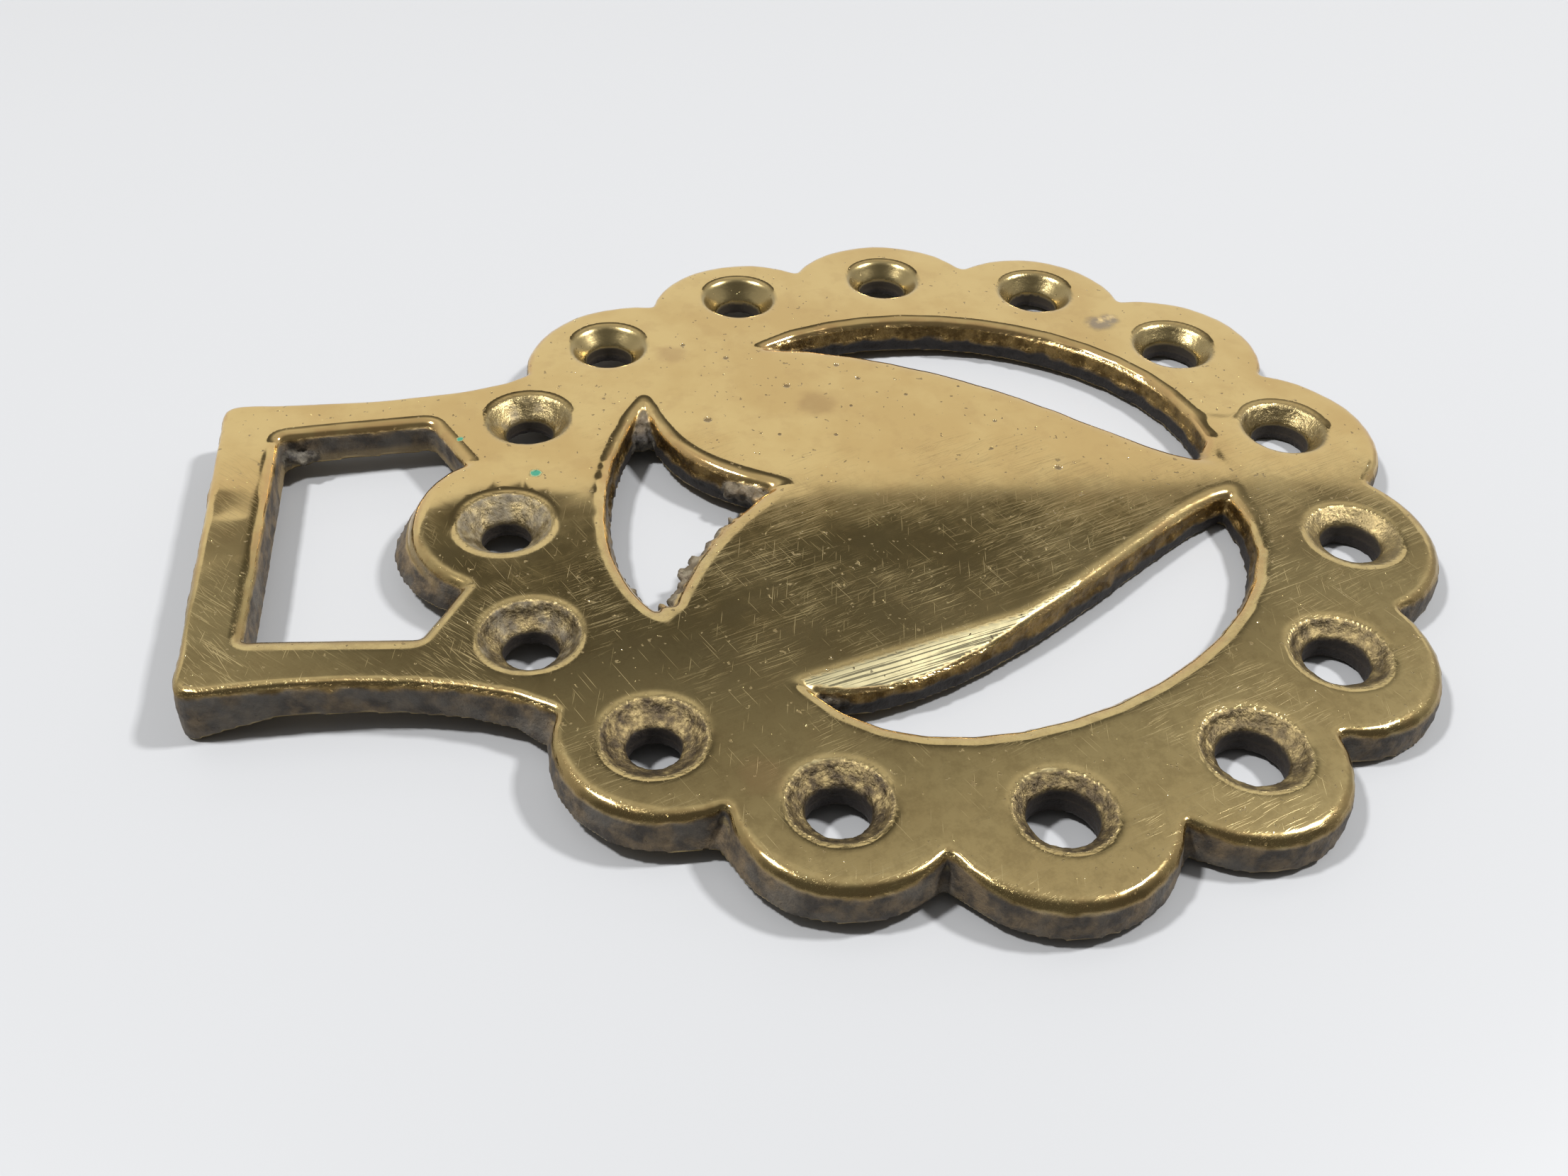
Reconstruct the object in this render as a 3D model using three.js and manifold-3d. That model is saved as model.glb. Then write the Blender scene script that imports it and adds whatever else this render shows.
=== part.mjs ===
// A cast horse brass: a heart in a scalloped ring of countersunk holes, with a strap hanger at the top.
// It lies on its back, in millimetres: +Z out of its face, +Y towards the hanger, +X to the face's right.
import * as THREE from 'three';
import { ConvexGeometry } from 'three/addons/geometries/ConvexGeometry.js';
import { mergeVertices } from 'three/addons/utils/BufferGeometryUtils.js';
import Module from 'manifold-3d';

const wasm = await Module();
wasm.setup();

// The plate
const PLATE_THICKNESS = 2.8;
const OUTER_ROLL_WIDTH = 0.9;    // the worn rounding along the outer edge, at the top of a scallop
const OUTER_ROLL_DEPTH = 1.1;
const NOTCH_WEAR = 0.2;          // the share of that width in the bottom of a notch
const HANGER_WEAR = 0.35;        // and along the hanger
const WEAR_REACH = 5.5;          // how far from a notch the edge is fully worn
const CUT_ROLL_WIDTH = 0.8;      // the rounding along the window, the head cutout and the crescents
const CUT_ROLL_DEPTH = 0.7;
const LEFT_WEAR = 0.6;           // how much wider that is on the left side of each cutout
const CUT_DRAFT = 0.25;          // how much narrower each cutout is at the back, where the mould drew

// The ring of holes
const HOLE_CIRCLE = 31.5;        // radius
const RIM_ROLL = 0.2;
// One row for each hole, clockwise from the hanger: degrees off its even place, millimetres outside
// the circle, the radius and the depth of its countersink, as filed by hand, and the throat's radius.
const HOLES = [
  [-0.8, -0.9, 3.25, 1.5, 1.8], [-0.8, -0.2, 3.15, 1.5, 1.85], [-2.8, -0.2, 3.0, 1.3, 1.9],
  [-1.7, -0.6, 3.0, 1.6, 1.9], [-0.9, -0.1, 3.0, 1.3, 2.0], [-0.4, 0.9, 3.1, 1.4, 2.05],
  [0, 0.3, 3.25, 1.2, 2.3], [0.5, 0.1, 3.2, 1.3, 2.25], [1.0, 0.6, 3.3, 0.9, 2.2],
  [1.1, 0.3, 3.3, 0.9, 2.3], [-1.1, 0.3, 3.45, 0.9, 2.35], [0.5, -0.3, 3.1, 0.7, 2.3],
  [2.0, -0.7, 3.2, 1.0, 2.05], [1.5, -0.5, 3.3, 1.1, 1.8], [0.8, 0, 3.3, 1.5, 1.9],
];

// The scalloped edge
const NOTCH_OUT = 2.6;           // from the circle of holes to the bottom of a notch
const SCALLOP_RISE = 4.4;        // how far a scallop stands out from between its notches
const FIRST_NOTCH = 1.5;         // the first free notch lies between the second and third holes
// One row for each notch: degrees off its even place, millimetres further out, how much shallower it is
// at the underside, and how much further the scallop that follows it stands out.
const NOTCHES = [
  [-3.0, 0.2, 0.3, -0.4], [-2.5, -0.6, 0.3, -0.2], [-2.3, -0.7, 0.3, 0.4], [-0.4, 0.2, 0.3, 0.2],
  [-0.4, 0.8, 0.3, 0.5], [0.4, 0.6, 0.3, 0.3], [2.0, 0.9, 0.4, -0.3], [1.9, 0.8, 0.4, 0.4],
  [1.8, 0.6, 0.5, 0.8], [0.6, 0, 0.9, 1.1], [2.0, -0.3, 0.9, 0.4], [1.2, -0.6, 1.4, 0.2],
  [0.3, -0.4, 1.0, 0],
];

// The heart and the three cutouts that leave it standing
const BAND_WIDTH = 6.9;          // from the circle of holes in to the ring's inner edge
const FACET_SLOPE = 22;          // degrees, the filed flat beside the left crescent

// The hanger
const HANGER_REACH = 20.6;       // from the circle of holes to the top edge
const HANGER_WIDTH = 32.3;
const HANGER_SKEW = 0.7;         // how much further the right corner reaches than the left one
const HANGER_CORNER = 1.6;
const WAIST_PULL = 0.8;          // how far the middle of each side is drawn in
const BAR_WIDTH = 4.4;
const ARM_WIDTH = 4.65;
const WINDOW_CORNER = 0.7;
const WINDOW_SPLAY = 0.9;        // the window widens this much towards its foot, on each side
const WINDOW_FOOT = 4.8;         // from the circle of holes to the window's lower corners
const TONGUE_HALF_WIDTH = 7.05;  // the first scallop, which stands into the window
const TONGUE_FOOT = 2.0;
const TONGUE_RISE = 3.9;
const TONGUE_FLARE = 1.4;        // how much further its foot stands out than its face
const TONGUE_SKEW = 0.2;         // and the share by which that is more on the right

// The hanger's end curls down to the table, and the plate stands that much clear of it
const END_DROP = 1.6;
const CURL_LENGTH = 8.4;
const CURL_STEPS = 6;
const END_ROUND_DEPTH = 1.0;     // how far the end's foot is tucked in under the top edge
const END_ROUND_HEIGHT = 2.0;
const END_LAND = 0.4;

// How finely round things are cut
const ARC_POINTS = 6;
const CURVE_POINTS = 15;
const HOLE_SIDES = 20;
const MITRE_LIMIT = 1.6;
const CLEAR = 1;                 // how far a cutter passes the faces it cuts

const face = END_DROP + PLATE_THICKNESS;
const innerEdge = HOLE_CIRCLE - BAND_WIDTH;
const hangerTop = HOLE_CIRCLE + HANGER_REACH;
const windowTop = hangerTop - BAR_WIDTH;
const pitch = 360 / HOLES.length;

// A point at a clock angle in degrees from the hanger and a distance from the ring's centre.
function clock(degrees, radius) {
  const angle = THREE.MathUtils.degToRad(90 - degrees);
  return new THREE.Vector2(radius * Math.cos(angle), radius * Math.sin(angle));
}

// A point of the heart, in shares of the ring's inner radius.
function share(across, up) {
  return new THREE.Vector2(across * innerEdge, up * innerEdge);
}

// An arc to the point, standing out to the left of the way by the rise.
function arcTo(path, to, rise) {
  const from = path.currentPoint.clone();
  const half = from.distanceTo(to) / 2;
  const radius = (half * half + rise * rise) / (2 * rise);
  const way = to.clone().sub(from).normalize();
  const left = new THREE.Vector2(-way.y, way.x);
  const centre = from.clone().add(to).multiplyScalar(0.5).addScaledVector(left, rise - radius);
  const start = from.clone().sub(centre).angle();
  const end = to.clone().sub(centre).angle();
  path.absarc(centre.x, centre.y, radius, start, end, true);
}

function curveTo(path, first, second, to) {
  path.bezierCurveTo(first.x, first.y, second.x, second.y, to.x, to.y);
}

// A corner of the given radius at the point, on the way to the next one.
function cornerTo(path, corner, next, radius) {
  const before = corner.clone().addScaledVector(path.currentPoint.clone().sub(corner).normalize(), radius);
  const after = corner.clone().addScaledVector(next.clone().sub(corner).normalize(), radius);
  path.lineTo(before.x, before.y);
  path.quadraticCurveTo(corner.x, corner.y, after.x, after.y);
}

// The path's points, anticlockwise and without repeats.
function ring(path, divisions) {
  const points = path.getPoints(divisions);
  const apart = points.filter((point, i) => point.distanceTo(points.at(i - 1)) > 0.001);
  return THREE.ShapeUtils.isClockWise(apart) ? apart.reverse() : apart;
}

// Which way a corner of an anticlockwise ring moves when the ring grows by one.
function cornerPush(before, corner, after) {
  const arriving = corner.clone().sub(before).normalize();
  const leaving = after.clone().sub(corner).normalize();
  const push = new THREE.Vector2(arriving.y + leaving.y, -arriving.x - leaving.x).normalize();
  const halfTurn = Math.max(push.x * leaving.y - push.y * leaving.x, 1 / MITRE_LIMIT);
  return push.divideScalar(halfTurn);
}

// The ring grown by an amount that is given for each point and the way it moves.
function grown(points, grow) {
  return points.map((point, i) => {
    const push = cornerPush(points.at(i - 1), point, points[(i + 1) % points.length]);
    return point.clone().addScaledVector(push, grow(point, push));
  });
}

// A closed solid through rings of matching points, each layer a height and its ring.
function loft(layers) {
  const count = layers[0][1].length;
  const positions = layers.flatMap(([height, points]) => points.flatMap((point) => [point.x, point.y, height]));
  const indices = [];
  for (let k = 0; k + 1 < layers.length; k++) {
    for (let i = 0; i < count; i++) {
      const a = k * count + i;
      const b = k * count + (i + 1) % count;
      indices.push(a, b, b + count, a, b + count, a + count);
    }
  }
  const top = (layers.length - 1) * count;
  for (const [a, b, c] of THREE.ShapeUtils.triangulateShape(layers[0][1], [])) indices.push(a, c, b);
  for (const [a, b, c] of THREE.ShapeUtils.triangulateShape(layers.at(-1)[1], [])) {
    indices.push(top + a, top + b, top + c);
  }
  const geometry = new THREE.BufferGeometry();
  geometry.setAttribute('position', new THREE.Float32BufferAttribute(positions, 3));
  geometry.setIndex(indices);
  return geometry;
}

function toSolid(geometry) {
  geometry.deleteAttribute('normal');
  geometry.deleteAttribute('uv');
  const merged = mergeVertices(geometry, 0.0001);
  return new wasm.Manifold(new wasm.Mesh({
    numProp: 3,
    vertProperties: merged.attributes.position.array,
    triVerts: Uint32Array.from(merged.index.array),
  }));
}

// The layers of a rounding under the face, from the wall's ring to the face's ring.
function roll(wall, edge, depth) {
  return [0, 25, 50, 72, 90].map((degrees) => {
    const angle = THREE.MathUtils.degToRad(degrees);
    const inward = 1 - Math.cos(angle);
    return [face - depth * (1 - Math.sin(angle)), wall.map((point, i) => point.clone().lerp(edge[i], inward))];
  });
}

// A cutter for an opening whose edge is rolled at the face, wider on its left, and drawn in at the back.
function opening(points, drawnIn) {
  const lean = (push) => LEFT_WEAR * Math.max(0, -push.x) ** 2;
  const wall = grown(points, (point, push) => -lean(push));
  const foot = grown(points, (point, push) => -Math.max(drawnIn(point), lean(push)));
  return toSolid(loft([
    [-CLEAR, foot],
    [END_DROP, foot],
    ...roll(wall, grown(points, () => CUT_ROLL_WIDTH), CUT_ROLL_DEPTH),
    [face + CLEAR, grown(points, () => CUT_ROLL_WIDTH + CLEAR)],
  ]));
}

function notch(index) {
  const [swing, out] = NOTCHES[index];
  return clock(pitch * (index + FIRST_NOTCH) + swing, HOLE_CIRCLE + NOTCH_OUT + out);
}

// The number of the notch nearest to a point.
function nearestNotch(point) {
  const apart = NOTCHES.map((row, index) => point.distanceTo(notch(index)));
  return apart.indexOf(Math.min(...apart));
}

// The outer edge, clockwise: up the hanger's left side, down its right side, then round the scallops.
function outerEdge() {
  const half = HANGER_WIDTH / 2;
  const first = notch(0);
  const last = notch(NOTCHES.length - 1);
  const side = (sign, along, up) => new THREE.Vector2(sign * (half + along), HOLE_CIRCLE + up);
  const topCorner = (sign) => new THREE.Vector2(sign * half, hangerTop + sign * HANGER_SKEW / 2);
  const path = new THREE.Path();
  path.moveTo(last.x, last.y);
  curveTo(path, side(-1, 0.4, 0), side(-1, -WAIST_PULL, HANGER_REACH * 0.45), side(-1, 0, HANGER_REACH * 0.88));
  cornerTo(path, topCorner(-1), topCorner(1), HANGER_CORNER);
  cornerTo(path, topCorner(1), side(1, 0, HANGER_REACH * 0.88), HANGER_CORNER);
  path.lineTo(half, HOLE_CIRCLE + HANGER_REACH * 0.88);
  curveTo(path, side(1, -WAIST_PULL, HANGER_REACH * 0.45), side(1, 0.4, 0), first);
  for (let i = 0; i + 1 < NOTCHES.length; i++) arcTo(path, notch(i + 1), SCALLOP_RISE + NOTCHES[i][3]);
  return ring(path, ARC_POINTS);
}

// The outer edge at the underside, where the notches are shallower.
function footEdge(points) {
  return points.map((point) => {
    const index = nearestNotch(point);
    const bottom = notch(index).length();
    return point.clone().setLength(bottom + Math.hypot(point.length() - bottom, NOTCHES[index][2]));
  });
}

// The outer edge at the face, inside its worn rounding.
function faceEdge(points) {
  const onHanger = (point) => point.y > 0 && Math.abs(point.x) < notch(0).x;
  const wear = (point) => {
    const apart = point.distanceTo(notch(nearestNotch(point)));
    return onHanger(point) ? HANGER_WEAR : NOTCH_WEAR + (1 - NOTCH_WEAR) * Math.min(apart / WEAR_REACH, 1);
  };
  return grown(points, (point) => -OUTER_ROLL_WIDTH * wear(point));
}

function strapWindow() {
  const half = HANGER_WIDTH / 2 - ARM_WIDTH;
  const top = (sign) => new THREE.Vector2(sign * half, windowTop);
  const foot = (sign) => new THREE.Vector2(sign * (half + WINDOW_SPLAY), HOLE_CIRCLE + WINDOW_FOOT);
  const tongue = (sign) => new THREE.Vector2(sign * TONGUE_HALF_WIDTH, HOLE_CIRCLE + TONGUE_FOOT);
  const path = new THREE.Path();
  path.moveTo(0, windowTop);
  cornerTo(path, top(-1), foot(-1), WINDOW_CORNER);
  cornerTo(path, foot(-1), tongue(-1), WINDOW_CORNER);
  path.lineTo(tongue(-1).x, tongue(-1).y);
  arcTo(path, tongue(1), TONGUE_RISE);
  cornerTo(path, foot(1), top(1), WINDOW_CORNER);
  cornerTo(path, top(1), new THREE.Vector2(0, windowTop), WINDOW_CORNER);
  return ring(path, ARC_POINTS);
}

// How far the tongue's foot stands out at a point of the window's edge.
function tongueFlare(point) {
  const along = THREE.MathUtils.clamp(point.x / TONGUE_HALF_WIDTH, -1, 1);
  const onTongue = point.y < HOLE_CIRCLE + TONGUE_FOOT + TONGUE_RISE + 0.01;
  return onTongue ? TONGUE_FLARE * Math.sqrt(1 - along * along) * (1 + TONGUE_SKEW * along) : 0;
}

// The opening over the heart's two shoulders, with the cusp between them.
function headCutout() {
  const left = share(-0.467, 0.797);
  const right = share(0.557, 0.8);
  const path = new THREE.Path();
  path.moveTo(left.x, left.y);
  curveTo(path, share(-0.405, 0.905), share(0.033, 1.07), right);
  curveTo(path, share(0.35, 0.748), share(0.232, 0.716), share(0.089, 0.431));
  curveTo(path, share(-0.106, 0.642), share(-0.231, 0.7), left);
  return ring(path, CURVE_POINTS);
}

function rightCrescent() {
  const top = share(0.854, 0.378);
  const path = new THREE.Path();
  path.moveTo(top.x, top.y);
  curveTo(path, share(1.212, -0.21), share(0.775, -1.095), share(0.09, -0.975));
  curveTo(path, share(0.185, -0.668), share(0.713, -0.441), top);
  return ring(path, CURVE_POINTS);
}

function leftCrescent() {
  const top = share(-0.774, 0.451);
  const path = new THREE.Path();
  path.moveTo(top.x, top.y);
  curveTo(path, share(-1.35, 0.14), share(-0.73, -1.125), share(-0.065, -0.965));
  curveTo(path, share(-0.099, -0.743), share(-0.866, -0.053), top);
  return ring(path, CURVE_POINTS);
}

// A filed flat that slopes from a line on the heart down to the left crescent.
function facet() {
  const start = share(-0.756, 0.5);
  const end = share(-0.52, -0.27);
  const middle = share(-0.874, 0.041);
  const along = end.clone().sub(start).normalize();
  const away = middle.clone().sub(start);
  const reach = Math.abs(along.x * away.y - along.y * away.x);
  const drop = reach * Math.tan(THREE.MathUtils.degToRad(FACET_SLOPE));
  const corners = [[start, 0], [end, 0], [middle, drop]];
  return toSolid(new ConvexGeometry(corners.flatMap(([point, depth]) => [
    new THREE.Vector3(point.x, point.y, face - depth),
    new THREE.Vector3(point.x, point.y, face + CLEAR),
  ])));
}

// A bowl down to a straight throat, on the axis of one hole.
function countersunkHole([swing, out, rim, depth, throat], index) {
  const bowl = [0, 30, 55, 78].map((degrees) => {
    const angle = THREE.MathUtils.degToRad(degrees);
    const radius = throat + (rim - throat) * Math.sin(angle);
    return new THREE.Vector2(radius, face - depth * Math.cos(angle));
  });
  const profile = [
    new THREE.Vector2(0, -CLEAR),
    new THREE.Vector2(throat, -CLEAR),
    ...bowl,
    new THREE.Vector2(rim + RIM_ROLL + CLEAR, face + CLEAR),
    new THREE.Vector2(0, face + CLEAR),
  ];
  const centre = clock(pitch * index + swing, HOLE_CIRCLE + out);
  const geometry = new THREE.LatheGeometry(profile, HOLE_SIDES);
  geometry.rotateX(Math.PI / 2);
  geometry.translate(centre.x, centre.y, 0);
  return toSolid(geometry);
}

// What lies under the plate, as a profile along Y and Z that runs the plate's whole width:
// flat under the ring, curling down under the hanger's end and tucked in at its foot.
function underneath() {
  const reach = 2 * HOLE_CIRCLE + HANGER_REACH;
  const endFace = hangerTop + HANGER_SKEW / 2;
  const footEnd = endFace - END_ROUND_DEPTH;
  const landStart = footEnd - END_LAND;
  const curlStart = landStart - CURL_LENGTH;
  const profile = new THREE.Shape();
  profile.moveTo(-reach, -CLEAR);
  profile.lineTo(reach, -CLEAR);
  profile.lineTo(reach, END_ROUND_HEIGHT);
  for (let step = 0; step <= CURL_STEPS; step++) {
    const turn = (Math.PI / 2) * (step / CURL_STEPS);
    profile.lineTo(endFace - END_ROUND_DEPTH * (1 - Math.cos(turn)), END_ROUND_HEIGHT * (1 - Math.sin(turn)));
  }
  profile.lineTo(footEnd, -CLEAR / 2);
  profile.lineTo(landStart, -CLEAR / 2);
  for (let step = 0; step <= CURL_STEPS; step++) {
    const along = step / CURL_STEPS;
    profile.lineTo(landStart - CURL_LENGTH * along, END_DROP * (1 - (1 - along) ** 2));
  }
  profile.lineTo(curlStart, END_DROP);
  profile.lineTo(-reach, END_DROP);
  const geometry = new THREE.ExtrudeGeometry(profile, { depth: 2 * reach, bevelEnabled: false });
  const [x, y, z] = [[1, 0, 0], [0, 1, 0], [0, 0, 1]].map((axis) => new THREE.Vector3(...axis));
  geometry.applyMatrix4(new THREE.Matrix4().makeBasis(y, z, x));
  geometry.translate(-reach, 0, 0);
  return toSolid(geometry);
}

function brassGeometry() {
  const edge = outerEdge();
  const foot = footEdge(edge);
  let brass = toSolid(loft([[0, foot], [END_DROP, foot], ...roll(edge, faceEdge(edge), OUTER_ROLL_DEPTH)]));
  const cutters = [headCutout(), rightCrescent(), leftCrescent()].map((edge) => opening(edge, () => CUT_DRAFT));
  cutters.push(opening(strapWindow(), tongueFlare), facet(), underneath(), ...HOLES.map(countersunkHole));
  for (const cutter of cutters) brass = brass.subtract(cutter);
  const { vertProperties, triVerts } = brass.getMesh();
  const geometry = new THREE.BufferGeometry();
  geometry.setAttribute('position', new THREE.BufferAttribute(vertProperties, 3));
  geometry.setIndex(new THREE.BufferAttribute(triVerts, 1));
  geometry.computeBoundingBox();
  const middle = geometry.boundingBox.getCenter(new THREE.Vector3());
  geometry.translate(-middle.x, -middle.y, 0);
  geometry.computeVertexNormals();
  return geometry;
}

const castBrass = new THREE.MeshStandardMaterial({ color: 0xb39a5c, roughness: 0.38, metalness: 1 });
const brass = new THREE.Mesh(brassGeometry(), castBrass);
brass.name = 'horse_brass';

const part = new THREE.Group();
part.add(brass);

export default part;
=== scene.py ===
"""A cast horse brass, worn and hand polished, lying on its back on a white table."""
import math
import random

import bpy
import numpy as np
from mathutils import Matrix, Vector, noise


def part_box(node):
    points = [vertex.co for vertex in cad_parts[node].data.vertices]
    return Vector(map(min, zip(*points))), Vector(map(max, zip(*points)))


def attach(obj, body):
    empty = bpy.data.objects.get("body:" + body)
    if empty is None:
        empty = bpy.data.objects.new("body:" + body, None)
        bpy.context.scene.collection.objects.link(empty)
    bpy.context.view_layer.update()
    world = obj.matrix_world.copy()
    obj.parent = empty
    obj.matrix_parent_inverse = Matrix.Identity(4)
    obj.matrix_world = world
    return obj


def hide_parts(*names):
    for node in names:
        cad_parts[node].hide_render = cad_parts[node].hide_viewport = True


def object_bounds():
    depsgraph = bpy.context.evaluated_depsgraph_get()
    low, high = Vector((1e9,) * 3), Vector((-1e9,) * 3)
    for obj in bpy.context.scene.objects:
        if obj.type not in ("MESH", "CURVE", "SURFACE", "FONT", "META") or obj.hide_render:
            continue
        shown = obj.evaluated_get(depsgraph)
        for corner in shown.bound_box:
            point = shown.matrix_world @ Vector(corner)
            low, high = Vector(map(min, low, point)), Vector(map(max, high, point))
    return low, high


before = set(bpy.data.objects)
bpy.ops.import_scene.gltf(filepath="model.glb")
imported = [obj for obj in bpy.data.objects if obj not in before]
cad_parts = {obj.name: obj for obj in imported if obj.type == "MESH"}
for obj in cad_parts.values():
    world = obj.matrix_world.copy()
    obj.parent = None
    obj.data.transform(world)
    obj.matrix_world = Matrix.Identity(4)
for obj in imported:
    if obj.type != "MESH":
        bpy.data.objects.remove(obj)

MM = 0.001
cad_box = [list(corner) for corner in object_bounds()]

# Places on the casting, in millimetres in the frame's own axes
RING_CENTRE = Vector((0.45, -7.11))
FACE_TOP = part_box("horse_brass")[1].z / MM
UNDERSIDE = 1.6
INNER_EDGE = 24.6
HOLE_CIRCLE = 31.5
HANGER_FOOT_Y = 43.9
LOWER_EDGE_Y = -45.3
PARTING_HEIGHT = 2.75
# The filed facet beside the left crescent: the way it faces, and its middle from the ring's centre
FACET_WAY = (-0.358, -0.11, 0.927)
FACET_MIDDLE = (-17, 3)
# Each hole, clockwise from the hanger: degrees off its even place, how far outside the circle, the rim's
# radius, the bowl's depth, the throat's radius, then how dusty and how rough its bowl is
HOLES = [
    (-0.8, -0.9, 3.25, 1.5, 1.8, 0.6, 0.7), (-0.8, -0.2, 3.15, 1.5, 1.85, 0.45, 0.4),
    (-2.8, -0.2, 3.0, 1.3, 1.9, 0.1, 0.0), (-1.7, -0.6, 3.0, 1.6, 1.9, 0.1, 0.0),
    (-0.9, -0.1, 3.0, 1.3, 2.0, 0.0, 0.0), (-0.4, 0.9, 3.1, 1.4, 2.05, 0.0, 0.1),
    (0, 0.3, 3.25, 1.2, 2.3, 0.0, 0.2), (0.5, 0.1, 3.2, 1.3, 2.25, 0.1, 0.5),
    (1.0, 0.6, 3.3, 0.9, 2.2, 0.0, 0.6), (1.1, 0.3, 3.3, 0.9, 2.3, 0.0, 0.9),
    (-1.1, 0.3, 3.45, 0.9, 2.35, 0.1, 0.9), (0.5, -0.3, 3.1, 0.7, 2.3, 0.1, 1.0),
    (2.0, -0.7, 3.2, 1.0, 2.05, 0.1, 1.0), (1.5, -0.5, 3.3, 1.1, 1.8, 0.2, 1.0),
    (0.8, 0, 3.3, 1.5, 1.9, 0.5, 0.9),
]
# How far the bowls of the first holes, and of the others, are worn from a cup to a trumpet
BOWL_WEAR = (0.8, 0.35)
MORE_WORN_HOLES = 9
# Rough metal and dirt that was never dressed off, in runs of lumps: from and to, as x and y from the
# ring's centre and height, then how many lumps and how big
CRUMBS = [
    ((-0.6, 13.8, 3.5), (-5.2, 17.2, 3.4), 12, 0.3), ((-5.2, 17.3, 3.4), (-10.6, 20.0, 3.2), 16, 0.42),
    ((-9.6, 21.1, 3.1), (-6.8, 22.3, 3.1), 8, 0.3), ((2.1, 11.7, 3.2), (3.5, 13.8, 2.9), 6, 0.6),
    ((13.1, 19.8, 3.0), (11.2, 20.1, 2.3), 5, 0.8), ((21.1, 8.6, 3.1), (21.7, 5.8, 2.4), 6, 0.5),
    ((3.0, -23.6, 3.3), (4.2, -23.7, 2.9), 4, 0.6), ((-19.0, 10.3, 2.8), (-18.8, 8.8, 2.5), 4, 0.5),
    ((-12.2, -23.1, 3.2), (-15.6, -20.9, 3.2), 8, 0.25), ((11.3, 47.2, 2.3), (11.4, 45.6, 2.2), 4, 0.4),
]

# The mesh of the worn casting
CELL = 0.232                     # millimetres between its points
WEAR_ROUNDS = 2
EDGE_ROUNDS = 8                  # the further rounds of smoothing where it is most worn
FLAT_SHARE = 0.05                # of the flat faces' triangles that are kept

# The camera's place in millimetres, its azimuth, elevation and roll in degrees, and its lens
CAMERA_PLACE = (-90.98, 17.51, 77.69)
CAMERA_TURNS = (-99.1535, 41.414, 2.636)
CAMERA_LENS = 36.595
# The table's and the lamps' sizes, and how far off the lamps are, in metres
TABLE_SIZE = 4
LAMP_SIZE = 0.06
LAMP_DISTANCE = 0.6


def linear(code):
    """A colour's linear parts, with full alpha, from its sRGB hex code."""
    parts = [int(code[i:i + 2], 16) / 255 for i in (1, 3, 5)]
    return [p / 12.92 if p <= 0.04045 else ((p + 0.055) / 1.055) ** 2.4 for p in parts] + [1.0]


def hole_centre(index):
    swing, out = HOLES[index][:2]
    angle = math.radians(90 - 360 / len(HOLES) * index - swing)
    return RING_CENTRE + (HOLE_CIRCLE + out) * Vector((math.cos(angle), math.sin(angle)))


def ramp(values, start, end):
    """0 at start and 1 at end, with a smooth way between."""
    t = np.clip((values - start) / (end - start), 0, 1)
    return t * t * (3 - 2 * t)


def deselect():
    for o in bpy.context.selected_objects:
        o.select_set(False)


def make_active(piece):
    deselect()
    piece.select_set(True)
    bpy.context.view_layer.objects.active = piece


def apply(piece, kind, **settings):
    """Adds a modifier with its settings and applies it."""
    make_active(piece)
    modifier = piece.modifiers.new(kind.title(), kind)
    for name, value in settings.items():
        setattr(modifier, name, value)
    bpy.ops.object.modifier_apply(modifier=modifier.name)


def points_of(piece):
    """The points and the outward directions of a mesh, in millimetres."""
    count = len(piece.data.vertices)
    points = np.empty(count * 3, np.float32)
    normals = np.empty(count * 3, np.float32)
    piece.data.vertices.foreach_get("co", points)
    piece.data.vertex_normals.foreach_get("vector", normals)
    return points.reshape(-1, 3).astype(float) / MM, normals.reshape(-1, 3).astype(float)


def set_points(piece, points):
    piece.data.vertices.foreach_set("co", (points * MM).astype(np.float32).ravel())
    piece.data.update()


def group_of(piece, name, weights):
    """A vertex group that holds each point by its weight, to the nearest tenth."""
    group = piece.vertex_groups.new(name=name)
    tenths = np.round(weights * 10).astype(int)
    for tenth in range(1, 11):
        chosen = np.flatnonzero(tenths == tenth)
        if len(chosen):
            group.add(chosen.tolist(), tenth / 10, "REPLACE")


def lumps(points, size, seed):
    """Smooth noise from about -1 to 1 at each point, with lumps of the given size."""
    shift = Vector((seed * 17.3, seed * 5.1, seed * 9.7))
    return np.array([noise.noise(Vector(p) / size + shift) for p in points])


def from_centre(points, x=0, y=0):
    """Distances across the plate from a point that is given from the ring's centre."""
    return np.hypot(points[:, 0] - RING_CENTRE.x - x, points[:, 1] - RING_CENTRE.y - y)


def placed(spot):
    """A place in the frame, from one that is given from the ring's centre."""
    return np.array(spot, float) + (*RING_CENTRE, 0)


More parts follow.
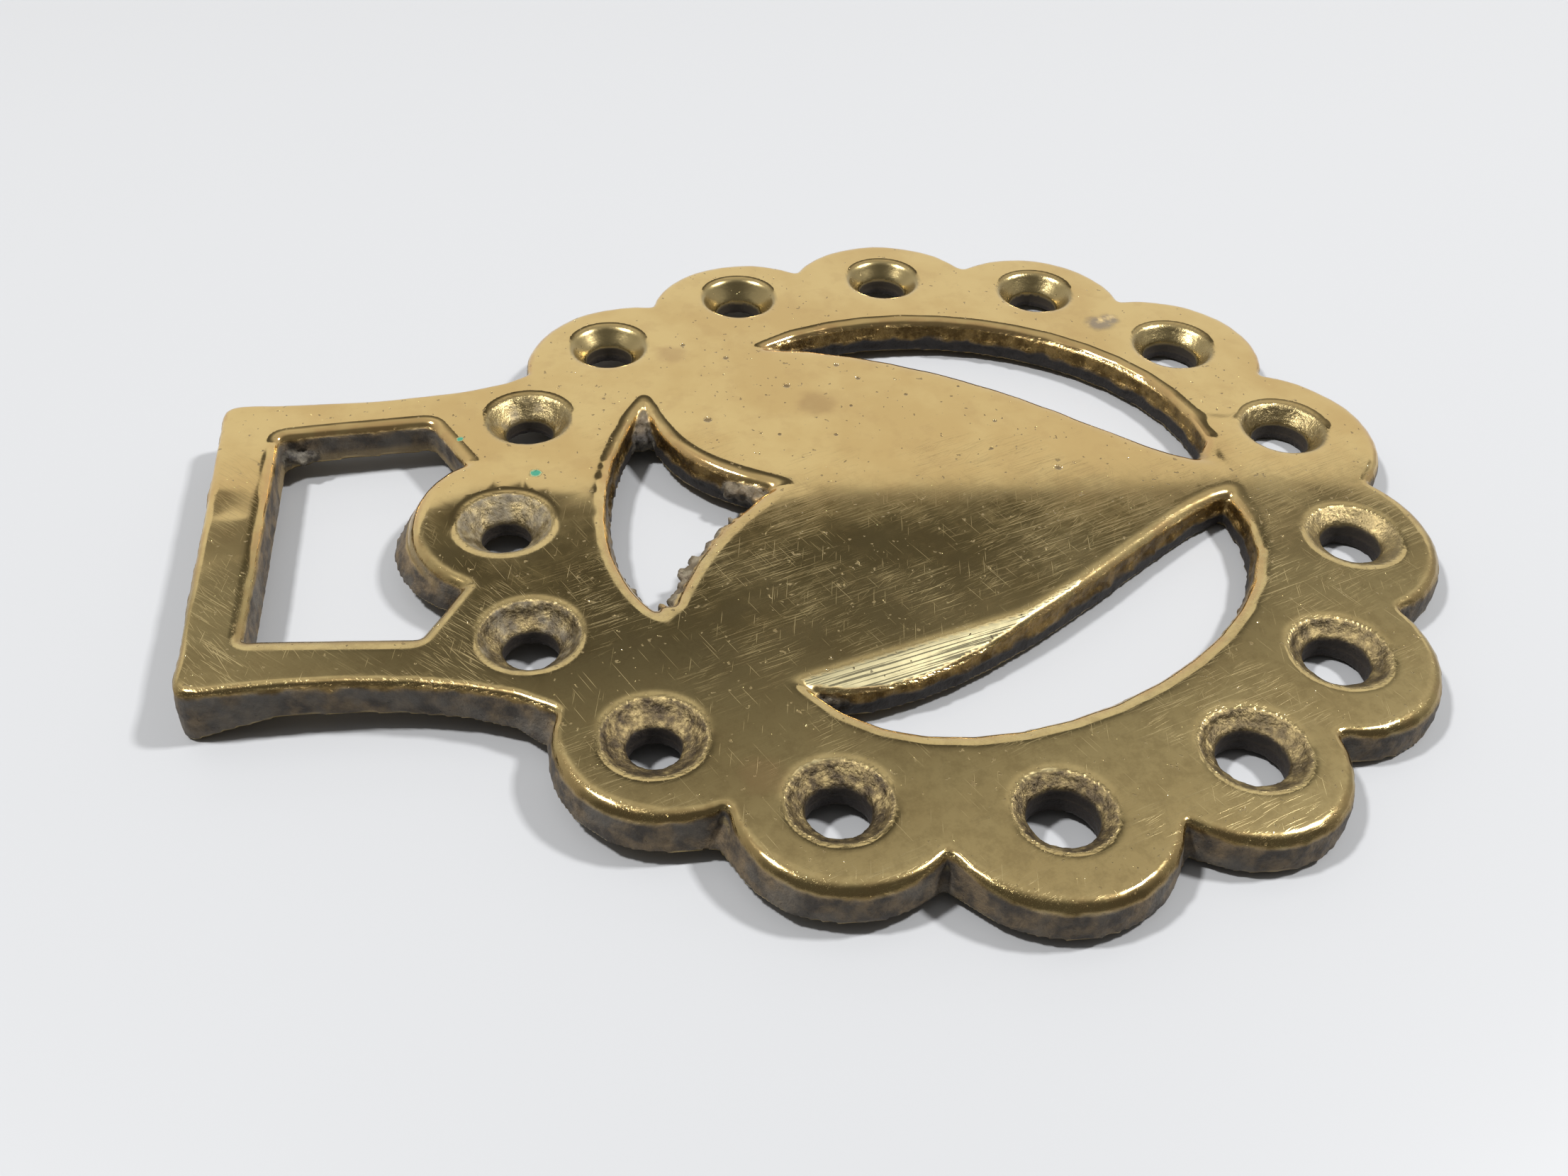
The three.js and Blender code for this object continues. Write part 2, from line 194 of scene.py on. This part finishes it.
def regions(points, normals):
    """Soft masks for the parts of the casting, and the height from which its walls are bare metal."""
    x, y, z = points.T
    up = normals[:, 2]
    zero = np.zeros(len(points))
    bowl, throat, by_hole, dust, grime, crumb = [zero] * 6
    for i, (_, _, rim, depth, _, dusty, grimy) in enumerate(HOLES):
        cx, cy = hole_centre(i)
        away = np.hypot(x - cx, y - cy)
        floor = FACE_TOP - depth
        sloping = ramp(-up, -0.985, -0.94)
        inside = np.maximum(ramp(rim - 0.2 - away, 0, 0.3), ramp(rim + 0.4 - away, 0, 0.3) * sloping)
        bowl = np.maximum(bowl, inside * ramp(z, floor - 1.0, floor - 0.7))
        throat = np.maximum(throat, inside * ramp(-z, -floor - 0.05, -floor + 0.2))
        by_hole = np.maximum(by_hole, ramp(rim + 1.0 - away, 0, 0.4))
        dust = np.maximum(dust, inside * dusty)
        grime = np.maximum(grime, inside * grimy)
    for start, end, _, size in CRUMBS:
        start, end = placed(start), placed(end)
        way = end - start
        along = np.clip((points - start) @ way / (way @ way), 0, 1)
        away = np.linalg.norm(points - start - along[:, None] * way, axis=1)
        crumb = np.maximum(crumb, ramp(size + 0.5 - away, 0, 0.3))
    crumb = crumb * ramp(-z, -FACE_TOP + 0.1, -FACE_TOP + 0.5)
    low = ramp(-z, -FACE_TOP + 1.0, -FACE_TOP + 1.4) * (up > -0.3)
    steep = np.maximum(ramp(-np.abs(up), -0.6, -0.25), low * ramp(-up, -0.96, -0.88))
    turned = ramp(-up, -0.985, -0.93) * ramp(up, 0.15, 0.5)
    filed = ramp(normals @ FACET_WAY, 0.975, 0.992) * (from_centre(points, *FACET_MIDDLE) < 14)
    in_ring = ramp(-from_centre(points), -INNER_EDGE - 2.5, -INNER_EDGE - 1.2)
    in_window = (np.abs(x - RING_CENTRE.x) < 12.8) * (y > 26) * (y < HANGER_FOOT_Y - 2.5)
    line = FACE_TOP - 0.55 - 1.05 * in_ring
    return {
        "wall": steep * (1 - bowl), "bowl": bowl, "throat": throat, "dust": dust, "grime": grime,
        "crumb": crumb, "roll": turned * (1 - by_hole) * (1 - filed), "filed": filed,
        # where the window's far wall gets a strip of painted light along its foot
        "back": ramp(-up, 0.5, 0.9), "line": line, "window_foot_painted_light": in_window * (x > 8) * ramp(-z, -2.6, -2.1),
        "in_ring": in_ring,
    }


def keep_mask(piece, name, values):
    attribute = piece.data.attributes.new(name, "FLOAT", "POINT")
    attribute.data.foreach_set("value", values.astype(np.float32))


def opened_bowls(points, normals):
    """The points with the wall of each bowl rubbed round into its rim, and how near to a rim each is."""
    moved = points.copy()
    rims = np.zeros(len(points))
    for i, (_, _, rim, depth, throat, _, _) in enumerate(HOLES):
        cx, cy = hole_centre(i)
        away = np.hypot(points[:, 0] - cx, points[:, 1] - cy)
        across = np.clip((away - throat) / (rim + 0.35 - throat), 0, 1)
        inside = (away > throat) & (away < rim + 0.6) & (points[:, 2] > FACE_TOP - depth - 0.2)
        wear = BOWL_WEAR[0 if i < MORE_WORN_HOLES else 1] * inside * ramp(normals[:, 2], 0.1, 0.4)
        moved[:, 2] += wear * (FACE_TOP - depth * (1 - across) ** 1.4 - points[:, 2])
        rims = np.maximum(rims, ramp(1.0 - np.abs(away - rim - 0.1), 0, 0.4) * (points[:, 2] > 3.3))
    return moved, rims


def relief(points, mask):
    """How far each point moves out along its normal: cast grain, the mould's parting, dents and wear."""
    x, y, z = points.T
    rough = np.maximum(mask["wall"], 0.9 * mask["bowl"] * mask["grime"])
    push = rough * (0.06 * lumps(points, 0.9, 1) + 0.05 * lumps(points, 0.42, 2))
    push += mask["crumb"] * (0.25 * lumps(points, 0.7, 6) + 0.18 * lumps(points, 0.38, 7))
    push += mask["wall"] * 0.08 * lumps(points * (1, 1, 0.4), 3.2, 3)
    # the worn edges waver a little
    push += mask["roll"] * 0.05 * lumps(points, 2.4, 4)
    # the mould's two halves met half way down the openings' walls
    ridge = np.exp(-((z - PARTING_HEIGHT - 0.25 * lumps(points, 2.0, 9)) / 0.22) ** 2)
    push += mask["wall"] * mask["in_ring"] * ridge * (0.16 + 0.2 * lumps(points, 0.8, 10))
    # the hanger's bar is beaten
    bar = ramp(y, HANGER_FOOT_Y - 7, HANGER_FOOT_Y - 2) * ramp(z, FACE_TOP - 2, FACE_TOP - 1)
    push += bar * (0.035 * lumps(points * (1, 1, 0.5), 4.5, 5) - 0.03)
    return push


def crumbs():
    """The lumps of rough metal and dirt, as little balls."""
    random.seed(4)
    balls = []
    for start, end, count, size in CRUMBS:
        start, end = Vector(placed(start)), Vector(placed(end))
        for i in range(count):
            place = start.lerp(end, (i + random.uniform(-0.3, 0.3)) / max(count - 1, 1))
            place += Vector([random.uniform(-0.2, 0.2) for _ in range(3)])
            radius = size * random.uniform(0.7, 1.2)
            bpy.ops.mesh.primitive_ico_sphere_add(subdivisions=2, radius=radius * MM, location=place * MM)
            balls.append(bpy.context.object)
    return balls


def worn_casting():
    """The casting as it is now: edges worn round, walls as they left the sand, a beaten hanger."""
    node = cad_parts["horse_brass"]
    piece = bpy.data.objects.new("worn_casting", node.data.copy())
    bpy.context.scene.collection.objects.link(piece)
    make_active(piece)
    bpy.ops.object.mode_set(mode="EDIT")
    bpy.ops.mesh.select_all(action="SELECT")
    bpy.ops.mesh.remove_doubles(threshold=1e-6)
    bpy.ops.object.mode_set(mode="OBJECT")
    balls = crumbs()
    make_active(piece)
    for ball in balls:
        ball.select_set(True)
    bpy.ops.object.join()
    apply(piece, "REMESH", mode="VOXEL", voxel_size=CELL * MM, adaptivity=0, use_smooth_shade=True)
    apply(piece, "SMOOTH", factor=0.5, iterations=WEAR_ROUNDS)
    points, normals = points_of(piece)
    opened, rims = opened_bowls(points, normals)
    set_points(piece, opened)
    worn = regions(points, normals)
    openings = worn["in_ring"] * ramp(points[:, 2], 3.2, 3.8) * (1 - worn["crumb"]) * 0.7
    outside = (1 - worn["in_ring"]) * worn["roll"] * 0.5
    near_facet = ramp(-from_centre(points, -15, 3), -11, -8) * ramp(points[:, 2], 3.6, 4.0)
    edges = np.maximum(np.maximum(openings, outside), near_facet) * (worn["bowl"] < 0.01)
    bowls = np.maximum(0.5 * worn["bowl"] * ramp(points[:, 2], 2.9, 3.4), 0.9 * rims)
    group_of(piece, "worn", np.maximum(edges, bowls))
    apply(piece, "SMOOTH", factor=0.5, iterations=EDGE_ROUNDS, vertex_group="worn")
    points, normals = points_of(piece)
    mask = regions(points, normals)
    for name, values in mask.items():
        keep_mask(piece, name, values)
    low, high = np.array(cad_box) / MM
    set_points(piece, np.clip(points + normals * relief(points, mask)[:, None], low, high))
    flat = (np.abs(normals[:, 2]) > 0.9999) & (mask["bowl"] < 0.01) & (points[:, 1] < HANGER_FOOT_Y - 8)
    group_of(piece, "flat", flat)
    share = 1 - (1 - FLAT_SHARE) * flat.mean()
    apply(piece, "DECIMATE", ratio=share, vertex_group="flat", vertex_group_factor=1.0)
    piece.vertex_groups.clear()
    make_active(piece)
    bpy.ops.object.shade_smooth()
    deselect()
    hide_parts("horse_brass")
    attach(piece, "root")
    return piece


def put(tree, kind, inputs=None, **settings):
    """Adds a node with its settings; each input takes a value or another node's socket."""
    node = tree.nodes.new(kind)
    for name, value in settings.items():
        setattr(node, name, value)
    for name, value in (inputs or {}).items():
        if isinstance(value, bpy.types.NodeSocket):
            tree.links.new(value, node.inputs[name])
        else:
            node.inputs[name].default_value = value
    return node


class Sums:
    """Short words for the sums that a shader is made of."""

    def __init__(self, tree):
        self.tree = tree
        tree.nodes.clear()

    def sum(self, operation, a, b=0.0):
        return put(self.tree, "ShaderNodeMath", {0: a, 1: b}, operation=operation).outputs[0]

    def product(self, *values):
        total = values[0]
        for value in values[1:]:
            total = self.sum("MULTIPLY", total, value)
        return total

    def total(self, *values):
        total = values[0]
        for value in values[1:]:
            total = self.sum("ADD", total, value)
        return total

    def most(self, *values):
        total = values[0]
        for value in values[1:]:
            total = self.sum("MAXIMUM", total, value)
        return total

    def rest(self, value):
        return self.sum("SUBTRACT", 1.0, value)

    def step(self, value, start, end, low=0.0, high=1.0):
        inputs = {"Value": value, "From Min": start, "From Max": end, "To Min": low, "To Max": high}
        return put(self.tree, "ShaderNodeMapRange", inputs, interpolation_type="SMOOTHSTEP").outputs[0]

    def blend(self, share, a, b):
        """A number between two."""
        return put(self.tree, "ShaderNodeMix", {"Factor": share, "A": a, "B": b}).outputs[0]

    def mix(self, share, a, b):
        """A colour between two, each an sRGB code or a socket."""
        a, b = [linear(c) if isinstance(c, str) else c for c in (a, b)]
        inputs = {"Factor": share, 6: a, 7: b}
        return put(self.tree, "ShaderNodeMix", inputs, data_type="RGBA").outputs[2]


class Finish(Sums):
    """The same for the metal, with places and sizes in millimetres on the piece."""

    def __init__(self, tree):
        super().__init__(tree)
        place = put(tree, "ShaderNodeTexCoord").outputs["Object"]
        self.mm = put(tree, "ShaderNodeVectorMath", {0: place, "Scale": 1 / MM}, operation="SCALE").outputs[0]
        # the ragged edges of the small spots and of the large ones
        self.fine = self.noise(0.2, shift=7.0)
        self.coarse = self.noise(1.2, shift=9.0)

    def noise(self, size, detail=2.0, rough=0.5, at=None, shift=0.0):
        place = at or self.mm
        if shift:
            place = put(self.tree, "ShaderNodeVectorMath", {0: place, 1: (shift, shift, shift)}).outputs[0]
        inputs = {"Vector": place, "Scale": 1 / size, "Detail": detail, "Roughness": rough}
        return put(self.tree, "ShaderNodeTexNoise", inputs).outputs["Fac"]

    def mask(self, name):
        return put(self.tree, "ShaderNodeAttribute", attribute_name=name).outputs["Fac"]

    def strokes(self, turn, wide, long, least, shift):
        """Thin lines turned anticlockwise from +Y by degrees; a higher least leaves fewer of them."""
        laid = put(self.tree, "ShaderNodeMapping", {
            "Vector": self.mm, "Rotation": (0, 0, math.radians(turn)), "Scale": (wide, long, wide)},
            vector_type="TEXTURE").outputs[0]
        return self.step(self.noise(1.0, detail=1.0, at=laid, shift=shift), least, least + 0.06)

    def away(self, x, y, turn=0.0, wide=1.0, long=1.0):
        """The distance across the face from a point given from the ring's centre, in a stretched measure."""
        laid = put(self.tree, "ShaderNodeMapping", {
            "Vector": self.mm, "Location": (RING_CENTRE.x + x, RING_CENTRE.y + y, 0),
            "Rotation": (0, 0, math.radians(turn)), "Scale": (wide, long, 1e4)},
            vector_type="TEXTURE").outputs[0]
        return put(self.tree, "ShaderNodeVectorMath", {0: laid}, operation="LENGTH").outputs["Value"]

    def spot(self, x, y, radius, edge=0.35):
        """1 within a ragged round spot, 0 outside it, at a place given from the ring's centre."""
        edge_noise = self.fine if radius < 0.5 else self.coarse
        ragged = self.sum("ADD", self.away(x, y), self.product(edge_noise, radius))
        return self.step(ragged, radius * (1.5 + edge), radius * (1.5 - edge))


# Marks on the face, as x, y and radius from the middle of the ring
PITS = [(15.2, 8.0, 0.26), (17.9, 3.5, 0.2), (15.8, 2.0, 0.18), (2.6, -11.4, 0.26), (11.0, 14.8, 0.3),
        (13.2, -1.5, 0.13), (8.2, 5.0, 0.14), (19.6, 12.5, 0.2), (21.8, 15.9, 0.18), (5.4, -6.8, 0.13),
        (12.0, 3.2, 0.12), (9.0, -7.9, 0.14), (14.0, -6.0, 0.1), (8.6, 9.4, 0.13)]
DULL_PATCHES = [(12.5, 6.0, 1.5), (20.5, 17.0, 1.2), (-26.5, 15.0, 1.4)]
VERDIGRIS = [(5.2, 28.3, 0.42), (10.0, 34.0, 0.25)]
STAINS = [(22.5, -20.3, 1.1), (23.2, -21.4, 0.8)]
# Shallow dents in the face: x, y, degrees from +Y, width and length
DENTS = [(7.5, -26.0, -15, 1.7, 4.6), (5.6, -32.5, 12, 1.4, 4.0)]


def polished_brass():
    """Sand-cast yellow brass, polished by hand for years. Its face is a clear straw-gold mirror under fine
    scratches that are painted paler as a sheen, its walls keep the foundry's brown-black crust, with painted
    shade near-black on the lower walls of the ring's openings and in the holes' throats and a strip of
    painted light along the bottom of the window's far wall, grey polish lies in the rough bowls, and its worn
    edges show redder metal."""
    material = bpy.data.materials.new("hand_polished_cast_brass")
    material.use_nodes = True
    tree = material.node_tree
    f = Finish(tree)
    wall, bowl, throat, dust, grime, crumb, roll, filed, back, line, window_foot_painted_light = [f.mask(name) for name in (
        "wall", "bowl", "throat", "dust", "grime", "crumb", "roll", "filed", "back", "line", "window_foot_painted_light")]
    x, y, z = put(tree, "ShaderNodeSeparateXYZ", {0: f.mm}).outputs
    left = f.step(x, 6.0, -8.0)
    on_hanger = f.step(y, 18.0, 25.0)

    # the polished metal, with broad clouds of tarnish, and small blotches of it on the left
    clouds = f.noise(8.0, detail=4.0, rough=0.55)
    specked = f.noise(1.9, detail=3.0, rough=0.6, shift=31.0)
    brass = f.mix(f.step(clouds, 0.36, 0.66), "#E6CA8C", "#DABB7E")
    brass = f.mix(f.product(f.step(specked, 0.5, 0.7), 0.2), brass, "#C6A470")
    # the left half is duller and greyer
    brass = f.mix(f.product(left, 0.5), brass, "#CEBC86")
    patina = f.product(f.step(f.noise(1.1, detail=5.0, rough=0.7, shift=41.0), 0.4, 0.68), left)
    brass = f.mix(f.product(patina, 0.4), brass, "#A58E60")
    dull_patch = f.most(*[f.spot(*patch, edge=0.5) for patch in DULL_PATCHES])
    brass = f.mix(f.product(dull_patch, 0.35), brass, "#B48E64")

    # rubbing marks: a dense fine grain, then separate strokes, and a few long stray ones; real marks, painted
    # paler as a painted sheen
    grain = f.blend(on_hanger, f.strokes(25, 0.12, 6, 0.5, 1.0), f.strokes(-42, 0.12, 6, 0.5, 3.0))
    short = f.most(f.strokes(28, 0.05, 3.0, 0.655, 11.0), f.strokes(20, 0.06, 5.0, 0.65, 19.0),
                   f.product(f.strokes(50, 0.05, 2.0, 0.69, 27.0), 0.8))
    short = f.blend(on_hanger, short, f.most(f.strokes(-42, 0.07, 2.8, 0.62, 37.0),
                                             f.strokes(-55, 0.06, 3.4, 0.66, 39.0)))
    stray = f.most(f.strokes(-62, 0.05, 5, 0.71, 47.0), f.strokes(80, 0.05, 4, 0.72, 53.0))
    busy = f.step(f.noise(6.0, detail=3.0, shift=5.0), 0.36, 0.64, 0.05, 1.0)
    rubbed = f.product(busy, f.step(x, 16.0, -12.0, 0.15, 1.0), f.step(f.away(1.0, 29.0), 5.0, 9.0))
    scratches_and_sheen = f.most(f.product(grain, f.total(0.01, f.product(rubbed, 0.09))), f.product(short, rubbed, 0.6),
                     f.product(stray, 0.6, left))
    file_marks = f.strokes(17, 0.1, 9, 0.5, 61.0)
    scratches_and_sheen = f.blend(filed, scratches_and_sheen, f.product(file_marks, 0.5))
    # painted sheen: the scratches are painted paler, standing for the light they catch
    brass = f.mix(f.product(scratches_and_sheen, 0.3), brass, "#EFE2B8")
    brass = f.mix(filed, brass, f.mix(file_marks, "#7E775C", "#5C5744"))

    # dark pits, blue-black stains and specks of verdigris
    pits = f.most(*[f.spot(*pit) for pit in PITS])
    pinholes = f.step(f.noise(0.45, detail=1.0, shift=3.0), 0.73, 0.765)
    pits = f.most(pits, f.product(pinholes, 0.7))
    stain = f.most(*[f.spot(*patch, edge=0.4) for patch in STAINS])
    green = f.most(*[f.spot(*speck) for speck in VERDIGRIS])
    brass = f.mix(f.product(pits, 0.8), brass, "#3A2A1A")
    brass = f.mix(f.product(stain, f.step(specked, 0.3, 0.5), 0.75), brass, "#4E4C52")

    # redder worn edges, and the outer worn edges darker on the left
    red = f.step(f.noise(2.2, detail=3.0, shift=67.0), 0.36, 0.6)
    in_ring = f.mask("in_ring")
    brass = f.mix(f.product(roll, red, 0.4), brass, "#C79A68")
    brass = f.mix(f.product(roll, f.rest(in_ring), left, 0.6), brass, "#8A784E")

    # the bowls: clean metal, rough grime or grey dust
    crust = f.noise(0.8, detail=3.0, rough=0.6, shift=71.0)
    cast = f.mix(f.step(crust, 0.3, 0.72), "#483E30", "#857450")
    bowl_skin = f.mix(f.product(grime, f.step(crust, 0.8, 0.5)), "#A8966A", cast)
    cover = f.total(dust, f.noise(1.3, detail=3.0, rough=0.6, shift=77.0), -0.5)
    powder = f.product(bowl, f.step(cover, 0.35, 0.85))
    grey = f.mix(f.step(crust, 0.4, 0.6), "#4A453E", "#6C675D")
    bowl_skin = f.mix(f.product(powder, 0.65), bowl_skin, grey)

    # the walls: brown-black where the sand's skin is left, and bare metal above a wavering line; inside the
    # ring's openings the walls below the line are painted near-black, painted shade over their dark skin
    mottle = f.noise(1.5, detail=4.0, rough=0.6, shift=81.0)
    soot_and_painted_shade = f.mix(f.step(mottle, 0.38, 0.7), "#3E372F", "#75644B")
    soot_and_painted_shade = f.mix(f.product(f.step(f.noise(2.6, detail=2.0, shift=87.0), 0.45, 0.65), 0.6), soot_and_painted_shade, "#645F57")
    height = f.total(z, f.product(f.noise(1.8, detail=3.0, shift=91.0), 1.2), -0.6)
    above = f.step(f.sum("SUBTRACT", height, line), -0.25, 0.3)
    # painted shade: the lower walls of the ring's openings turn near-black
    soot_and_painted_shade = f.mix(in_ring, soot_and_painted_shade, "#221D1A")
    bare = f.product(above, f.rest(throat))
    bronze = f.mix(f.step(mottle, 0.4, 0.6), "#5E4C2E", "#8E764A")
    wall_skin_and_painted_light = f.mix(bare, soot_and_painted_shade, bronze)
    # painted light: a pale strip along the foot of the window's far wall, standing for the floor's light that
    # it catches
    wall_skin_and_painted_light = f.mix(f.product(window_foot_painted_light, 0.8), wall_skin_and_painted_light, "#8C7A58")
    raw = f.mix(f.step(crust, 0.42, 0.66), "#2C2722", "#645E52")
    back_skin = f.mix(f.step(clouds, 0.3, 0.7), "#9A8252", "#6F5A38")

    colour = f.mix(back, brass, back_skin)
    colour = f.mix(bowl, colour, bowl_skin)
    # the walls' colour: sand skin and bare metal, with their painted shade and painted light
    colour = f.mix(wall, colour, wall_skin_and_painted_light)
    # the throats: partly their dark skin, partly painted shade down in the holes, near-black
    colour = f.mix(f.product(throat, 0.95), colour, "#241D19")
    colour = f.mix(f.product(crumb, 0.9), colour, raw)
    colour = f.mix(green, colour, "#2F7A62")

    sooty = f.product(wall, f.rest(bare))
    dull = f.most(sooty, throat, powder, green, f.product(crumb, 0.8), f.product(bowl, grime, 0.25),
                  f.product(pits, 0.5), f.product(stain, 0.5))
    metal = f.step(dull, 0.0, 1.0, 1.0, 0.1)
    hazy = f.product(f.step(f.noise(9.0, detail=3.0, shift=97.0), 0.4, 0.62), left)
    roughness = f.total(0.04, f.product(hazy, 0.05), f.product(patina, 0.06),
                        f.product(scratches_and_sheen, 0.36), f.product(dull_patch, 0.1), f.product(roll, 0.06),
                        f.product(filed, 0.36), f.product(f.most(bowl, back), 0.2),
                        f.product(bowl, grime, 0.06), f.product(wall, 0.27))
    roughness = f.blend(dull, roughness, 0.65)

    # heights in millimetres: scratches are a few microns deep, casting grain a few hundredths
    dents = f.total(*[f.step(f.away(*dent), 1.0, 0.0) for dent in DENTS])
    coarse = f.most(wall, crumb, f.product(bowl, f.total(0.08, grime)))
    lie = f.total(f.product(scratches_and_sheen, -0.002), f.product(f.noise(7.0, detail=1.0, shift=99.0), 0.005),
                  f.product(pits, -0.1), f.product(dents, -0.022),
                  f.product(f.noise(0.3, detail=5.0, rough=0.6, shift=101.0), coarse, 0.13))
    bump = put(tree, "ShaderNodeBump", {"Height": lie, "Strength": 1.0, "Distance": MM})

    shader = put(tree, "ShaderNodeBsdfPrincipled", {
        "Base Color": colour, "Metallic": metal, "Roughness": roughness, "Normal": bump.outputs[0]})
    put(tree, "ShaderNodeOutputMaterial", {"Surface": shader.outputs[0]})
    return material


def table():
    """A white table top, which the brass touches with its hanger's end and its lowest scallops."""
    fall = UNDERSIDE / (HANGER_FOOT_Y - LOWER_EDGE_Y)
    bpy.ops.mesh.primitive_plane_add(size=TABLE_SIZE)
    top = bpy.context.object
    top.name = "table_top"
    top.data.transform(Matrix.Rotation(-math.atan(fall), 4, "X"))
    top.data.transform(Matrix.Translation((0, 0, fall * HANGER_FOOT_Y * MM)))
    material = bpy.data.materials.new("white_laminate")
    material.use_nodes = True
    shader = material.node_tree.nodes["Principled BSDF"]
    shader.inputs["Base Color"].default_value = linear("#AAABAD")
    shader.inputs["Roughness"].default_value = 0.35
    shader.inputs["Specular IOR Level"].default_value = 0.3
    top.data.materials.append(material)
    deselect()


def camera():
    """The photograph's view: from the brass's left side, above and a little towards the hanger."""
    place = Vector(CAMERA_PLACE) * MM
    azimuth, elevation, roll = map(math.radians, CAMERA_TURNS)
    back = Vector((math.sin(azimuth) * math.cos(elevation), -math.cos(azimuth) * math.cos(elevation),
                   math.sin(elevation)))
    level = Vector((0, 0, 1)).cross(back).normalized()
    upright = back.cross(level)
    right = math.cos(roll) * level + math.sin(roll) * upright
    up = math.cos(roll) * upright - math.sin(roll) * level
    data = bpy.data.cameras.new("camera")
    data.sensor_width = 36
    data.lens = CAMERA_LENS
    data.clip_start = 0.001
    eye = bpy.data.objects.new("camera", data)
    eye.matrix_world = Matrix.Translation(place) @ Matrix((right, up, back)).transposed().to_4x4()
    bpy.context.scene.collection.objects.link(eye)
    bpy.context.scene.camera = eye


def lamp(name, towards, power):
    """A square soft lamp that shines on the brass from a direction."""
    data = bpy.data.lights.new(name, "AREA")
    data.size = LAMP_SIZE
    data.energy = power
    light = bpy.data.objects.new(name, data)
    way = Vector(towards).normalized()
    light.location = way * LAMP_DISTANCE
    light.rotation_euler = way.to_track_quat("Z", "Y").to_euler()
    bpy.context.scene.collection.objects.link(light)


def room():
    """A bright wall on the brass's right up to a straight edge, a dark ceiling from there that pales
    overhead, and two ceiling lamps."""
    world = bpy.data.worlds.new("room")
    world.use_nodes = True
    tree = world.node_tree
    s = Sums(tree)
    way = put(tree, "ShaderNodeTexCoord").outputs["Generated"]
    x, y, z = put(tree, "ShaderNodeSeparateXYZ", {0: way}).outputs
    ahead = s.sum("MAXIMUM", x, 0.001)
    aside = s.sum("DIVIDE", s.sum("ABSOLUTE", y), ahead)
    rise = s.total(s.sum("DIVIDE", z, ahead), s.product(s.sum("DIVIDE", y, ahead), 0.04))
    wall = s.product(s.step(rise, 0.79, 0.78), s.step(aside, 1.6, 1.0))
    ceiling = s.total(s.step(x, 0.76, 0.54, 0.1, 0.57), s.step(x, 0.2, -0.5, 0.0, -0.42),
                      s.product(s.step(y, 0.05, 0.25, 0.0, 0.17), s.step(x, 0.2, 0.6)))
    strength = s.blend(wall, ceiling, 0.83)
    light = put(tree, "ShaderNodeBackground", {"Color": linear("#FFFEFC"), "Strength": strength}).outputs[0]
    put(tree, "ShaderNodeOutputWorld", {"Surface": light})
    bpy.context.scene.world = world
    lamp("lamp_below", (0.05, -0.7, 1.0), 3.45)
    lamp("lamp_above", (0.05, 0.54, 1.0), 3.35)


casting = worn_casting()
casting.data.materials.clear()
casting.data.materials.append(polished_brass())
table()
room()
camera()
bpy.context.scene.view_settings.view_transform = "Standard"
